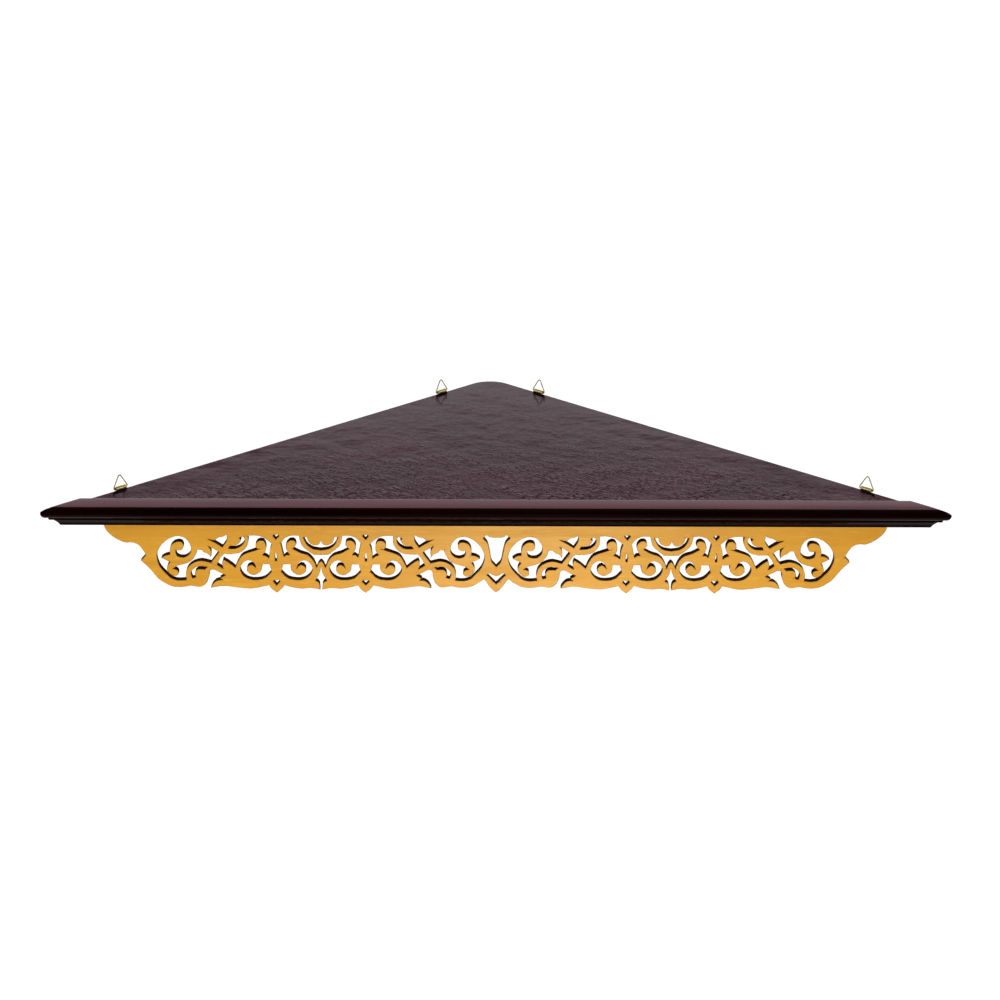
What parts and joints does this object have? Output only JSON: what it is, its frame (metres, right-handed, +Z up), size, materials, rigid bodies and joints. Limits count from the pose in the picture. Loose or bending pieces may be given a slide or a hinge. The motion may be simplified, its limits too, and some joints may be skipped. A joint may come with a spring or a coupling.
{
  "type": "corner icon shelf",
  "caption": "Triangular corner shelf with a moulded front, a pierced gold valance below it and brass rings on both wall edges to hang it by.",
  "frame": {"origin": "centre of the triangular plan on the top face of the board", "axes": "+X along the front to the viewer's right, +Y into the corner of the room, +Z up; both walls stand at 45 degrees to X"},
  "size_m": [0.62, 0.3025, 0.0747],
  "materials": {
    "lacquered_board": "dark brown, glossy lacquer",
    "dark_moulding": "near-black red brown, glossy lacquer",
    "gold_paint": "gold paint on plywood, dark cut edges",
    "bare_pine": "bare, planed",
    "steel": "zinc plated",
    "brass": "polished, a little worn"
  },
  "bodies": {
    "shelf": {"shelf_board": "lacquered_board", "front_moulding": "dark_moulding", "fret_valance": "gold_paint", "fixing_batten": "bare_pine", "batten_screw_1": "steel", "batten_screw_2": "steel", "batten_screw_3": "steel", "batten_screw_4": "steel", "batten_screw_5": "steel", "valance_brad_1": "steel", "valance_brad_2": "steel", "valance_brad_3": "steel", "valance_brad_4": "steel", "valance_brad_5": "steel", "valance_brad_6": "steel", "hanger_strap_1": "brass", "hanger_screw_1": "steel", "hanger_strap_2": "brass", "hanger_screw_2": "steel", "hanger_strap_3": "brass", "hanger_screw_3": "steel", "hanger_strap_4": "brass", "hanger_screw_4": "steel"},
    "ring_1": {"hanger_ring_1": "brass"},
    "ring_2": {"hanger_ring_2": "brass"},
    "ring_3": {"hanger_ring_3": "brass"},
    "ring_4": {"hanger_ring_4": "brass"}
  },
  "joints": [
    {"name": "ring_1_swing", "type": "hinge", "parent": "shelf", "child": "ring_1", "pos_m": [-0.26082, -0.0521, 0.0001], "axis": [0.7071, 0.7071, 0], "range_deg": [-160, 60]},
    {"name": "ring_2_swing", "type": "hinge", "parent": "shelf", "child": "ring_2", "pos_m": [-0.03779, 0.17092, 0.0001], "axis": [0.7071, 0.7071, 0], "range_deg": [-160, 60]},
    {"name": "ring_3_swing", "type": "hinge", "parent": "shelf", "child": "ring_3", "pos_m": [0.03709, 0.17163, 0.0001], "axis": [0.7071, -0.7071, 0], "range_deg": [-160, 60]},
    {"name": "ring_4_swing", "type": "hinge", "parent": "shelf", "child": "ring_4", "pos_m": [0.25905, -0.05034, 0.0001], "axis": [0.7071, -0.7071, 0], "range_deg": [-160, 60]}
  ]
}
